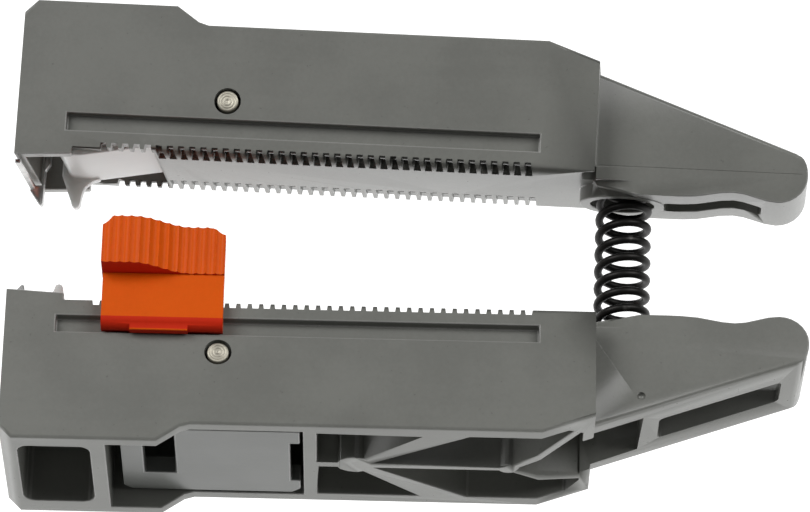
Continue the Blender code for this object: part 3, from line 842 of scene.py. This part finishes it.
@dataclass
class MainSpring:
    """Coil spring in the seats of the two tails, sheared where the seats are not in line."""

    coil: CoilTree
    lower_end: Vector = field(default_factory=lambda: Vector((32.25, 3.72, 9.0)))
    upper_end: Vector = field(default_factory=lambda: Vector((32.574, 27.324, 12.421)))
    upper_way: Vector = field(default_factory=lambda: Vector((0.03807, 0.96389, 0.26358)))
    handle: float = 7.9
    turns: float = 13.0
    coil_radius: float = 2.5
    wire_radius: float = 0.42
    steps: int = 28                 # steps of the wire in one turn
    sides: int = 14
    squeezed: float = 0.465         # length that is left when the jaws are closed
    squeeze_start: float = 0.55     # above the lower end, so that the tilting turns have room
    squeeze_way: tuple[float, float, float] = (0.0407, 0.958, 0.2838)

    def build(self) -> None:
        """Make the spring."""
        lower_way = Vector((0.0, 1.0, 0.0))
        made = self.coil.grow("main_spring_look", {
            "Start": self.lower_end, "Start handle": self.lower_end + lower_way * self.handle,
            "End handle": self.upper_end - self.upper_way * self.handle, "End": self.upper_end,
            "Start way": lower_way, "End way": self.upper_way,
            "Turns": self.turns, "Coil radius": self.coil_radius, "Wire radius": self.wire_radius,
            "Steps": int(self.turns * self.steps) + 1, "Sides": self.sides,
            "Finish": shared(WIRE)})
        made.data.transform(Matrix.Scale(MM, 4))
        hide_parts("main_spring")
        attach(made, "lower_cassette")
        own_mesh(made)
        LOG.info("%s: %d faces", made.name, len(made.data.polygons))


@dataclass
class LengthStop:
    """Orange stop: fluted grip, a leg on each side hooked in the side groove, and a bridge."""

    matrix: Matrix
    front: float = 9.6
    rear: float = 21.9
    grip_top: float = -7.6
    grip_base: float = -2.4
    front_corner: tuple[float, float] = (1.1, 1.1)  # run and drop of the cut at the grip's corner
    rear_corner: tuple[float, float] = (-1.3, 0.85)
    face: float = 10.5
    swell: float = 2.6
    run_out: float = 0.35
    swell_span: tuple[float, float] = (0.25, 0.72)  # shares of the length where the swell runs out
    inner: float = 9.35
    far_face: float = 10.15
    flutes: int = 13
    flute_depth: float = 0.22
    flute_steps: int = 8            # facets across one flute
    bridge_front: float = 15.6
    bridge_top: float = -1.9
    bridge_under: float = -0.35
    bridge_inset: float = 0.2       # at its rear end and at its far side
    housing_half: float = 9.0
    play: float = 0.3
    hook: float = 0.7               # how far the hooks reach into the side grooves
    hook_span: tuple[float, float] = (2.0, 3.2)
    leg_bend: float = 2.4           # where the near leg starts to round off
    leg_end: float = 3.45
    bend_radius: float = 0.9
    tab_u: tuple[float, float] = (12.6, 18.4)
    tab_h: tuple[float, float] = (2.4, 3.7)
    tab_face: float = 10.2
    shaded: float = 0.5             # faces that turn this far to the back get the painted deep-red shade
    leg_round: float = 2.45         # and so do those below the leg's rounded end
    edge: float = 0.14

    def grip(self) -> bpy.types.Object:
        """The fluted grip, still a plain upright solid."""
        tree = FluteTree()
        return tree.grow("length_stop_look", {
            "Front": self.front, "Length": self.rear - self.front, "Base": self.grip_base,
            "Top": self.grip_top, "Inner": self.inner, "Face": self.face, "Swell": self.swell,
            "Swell end": self.swell_span[0], "Run out": self.run_out,
            "Run out start": self.swell_span[1], "Flutes": self.flutes,
            "Flute depth": self.flute_depth, "Steps": self.flute_steps, "Finish": shared(STOP)})

    def corners(self) -> BMesh:
        """Wedges that take off the grip's two upper corners."""
        mesh = bmesh.new()
        over = 0.5
        across = (-16.0, -9.0)
        for end, (run, drop) in ((self.front, self.front_corner), (self.rear, self.rear_corner)):
            outside = end - math.copysign(over, run)
            wedge = [(outside, self.grip_top - over),
                     (end + run * (1.0 + over), self.grip_top - over * drop),
                     (end - run * over, self.grip_top + drop * (1.0 + over))]
            prism(mesh, wedge, "w", *across)
        return mesh

    def leg(self) -> BMesh:
        """Near leg, from under the grip to its hook in the groove."""
        overlap = 0.6
        front_inset = 0.1
        toe = 0.2
        radius = self.bend_radius
        skin = self.housing_half + self.play
        inside = self.housing_half - self.hook
        hook_start, hook_end = self.hook_span
        outline = [(self.grip_base - overlap, -self.inner), (self.grip_base - overlap, -self.face),
                   (self.leg_bend, -self.face)]
        for step in range(1, 5):
            angle = step * math.pi / 10
            outline.append((self.leg_bend + radius * math.sin(angle),
                            -self.face + radius - radius * math.cos(angle)))
        outline += [(self.leg_end, -self.inner - toe), (self.leg_end, -skin), (hook_end, -skin),
                    (hook_end, -inside), (hook_start, -inside), (hook_start, -self.inner)]
        mesh = bmesh.new()
        prism(mesh, outline, "u", self.front + front_inset, self.rear)
        return mesh

    def far_leg(self) -> BMesh:
        """Far leg, from the bridge to its hook in the groove."""
        skin = self.housing_half + self.play
        inside = self.housing_half - self.hook
        hook_start, hook_end = self.hook_span
        outline = [(self.bridge_top, self.far_face), (self.bridge_top, skin), (hook_start, skin),
                   (hook_start, inside), (hook_end, inside), (hook_end, self.far_face)]
        mesh = bmesh.new()
        prism(mesh, outline, "u", self.bridge_front, self.rear - self.bridge_inset)
        return mesh

    @staticmethod
    def bar(u: Sequence[float], h: Sequence[float], w: Sequence[float]) -> BMesh:
        """A box between two values on each axis."""
        mesh = bmesh.new()
        prism(mesh, [(u[0], h[0]), (u[1], h[0]), (u[1], h[1]), (u[0], h[1])], "w", w[0], w[1])
        return mesh

    def build(self) -> None:
        """Make the stop."""
        made = self.grip()
        overlap = 0.5
        bridge = self.bar((self.bridge_front, self.rear - self.bridge_inset),
                          (self.bridge_top, self.bridge_under),
                          (-self.face + overlap, self.far_face - self.bridge_inset))
        tab = self.bar(self.tab_u, self.tab_h, (-self.tab_face, -self.inner))
        carve(made, [("DIFFERENCE", self.corners()), ("UNION", self.leg()), ("UNION", bridge),
                     ("UNION", self.far_leg()), ("UNION", tab)])
        made.data.materials.clear()
        for finish in (STOP, STOP_PAINTED_SHADE):
            made.data.materials.append(shared(finish))
        # Faces that turn to the back, and those below the leg's rounded end, get the second finish, a
        # painted deep-red shade.
        for face in made.data.polygons:
            shaded = face.normal.y > self.shaded or face.center.y > self.leg_round
            face.material_index = 1 if shaded else 0
        made.data.transform(self.matrix)
        broken_edges(made, self.edge)
        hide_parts("length_stop")
        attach(made, "stop")
        LOG.info("%s: %d faces", made.name, len(made.data.polygons))


def shared(finish: Finish) -> bpy.types.Material:
    """The finish's material, made the first time that it is asked for."""
    return bpy.data.materials.get(finish.name) or finish.build()


# ---------------------------------------------------------------- studio

@dataclass(frozen=True)
class Softbox:
    """A square area light that points at the object."""

    name: str
    place: tuple[float, float, float]       # metres
    width: float                            # metres
    power: float                            # watts


@dataclass
class Studio:
    """Floor, light and camera."""

    floor_level: float                      # metres
    target: Vector = field(default_factory=lambda: Vector((9.97, 17.38, 9.0)))
    elevation: float = 63.0
    roll: float = 1.32
    distance: float = 500.6
    lens: float = 215.9
    sensor: float = 36.0
    floor_half: float = 3000.0
    sky: float = 0.06
    boxes: tuple[Softbox, ...] = (
        Softbox("left_box", (-0.55, 0.25, 0.75), 0.6, 5.4),
        Softbox("right_box", (0.6, 0.2, 0.75), 0.6, 4.8),
        Softbox("front_box", (-0.2, -0.7, 0.55), 0.5, 0.2),
    )

    def floor(self) -> None:
        """Wide pale floor that the object lies on."""
        half = self.floor_half * MM
        mesh = bmesh.new()
        corners = [(-half, -half), (half, -half), (half, half), (-half, half)]
        mesh.faces.new([mesh.verts.new((x, y, self.floor_level)) for x, y in corners])
        made = linked("studio_floor", mesh)
        made.data.materials.append(shared(GlowingFloor()))
        made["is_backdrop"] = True

    def light(self) -> None:
        """Soft boxes and an even sky."""
        for box in self.boxes:
            lamp = bpy.data.lights.new(box.name, "AREA")
            lamp.size = box.width
            lamp.energy = box.power
            made = bpy.data.objects.new(box.name, lamp)
            bpy.context.scene.collection.objects.link(made)
            made.location = box.place
            aim = self.target * MM - Vector(box.place)
            made.rotation_euler = aim.to_track_quat("-Z", "Y").to_euler()
        world = bpy.data.worlds.new("studio")
        world.use_nodes = True
        graph = Graph(world.node_tree)
        glow = graph.signal("ShaderNodeBackground", None,
                            {"Color": (1.0, 1.0, 1.0, 1.0), "Strength": self.sky})
        graph.node("ShaderNodeOutputWorld", None, {"Surface": glow})
        bpy.context.scene.world = world

    def camera(self) -> None:
        """Long lens from above and in front, with a slight roll."""
        steep = math.radians(self.elevation)
        ahead = Vector((0.0, math.cos(steep), -math.sin(steep)))
        right = Vector((1.0, 0.0, 0.0))
        above = right.cross(ahead)
        roll = math.radians(self.roll)
        turned_right = math.cos(roll) * right + math.sin(roll) * above
        turned_above = math.cos(roll) * above - math.sin(roll) * right
        lens = bpy.data.cameras.new("camera")
        lens.lens = self.lens
        lens.sensor_width = self.sensor
        made = bpy.data.objects.new("camera", lens)
        bpy.context.scene.collection.objects.link(made)
        axes = Matrix((turned_right, turned_above, -ahead)).transposed()
        place = (self.target - ahead * self.distance) * MM
        made.matrix_world = Matrix.Translation(place) @ axes.to_4x4()
        bpy.context.scene.camera = made

    def build(self) -> None:
        """Set up the studio."""
        bpy.context.scene.view_settings.view_transform = "Standard"
        self.floor()
        self.light()
        self.camera()


def main() -> tuple[Vector, Vector]:
    """Build the object's pieces and the studio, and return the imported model's box."""
    logging.basicConfig(level=logging.INFO, format="%(name)s: %(message)s")
    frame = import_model()
    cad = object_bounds()
    coil = CoilTree()
    lower = Cassette(Side.LOWER, frame["nodes"], coil)
    upper = Cassette(Side.UPPER, frame["nodes"], coil)
    for cassette in (lower, upper):
        cassette.build()
    MainSpring(coil).build()
    LengthStop(lower.matrix).build()
    Studio(floor_level=cad[0][2]).build()
    return cad


if __name__ == "__main__":
    main()
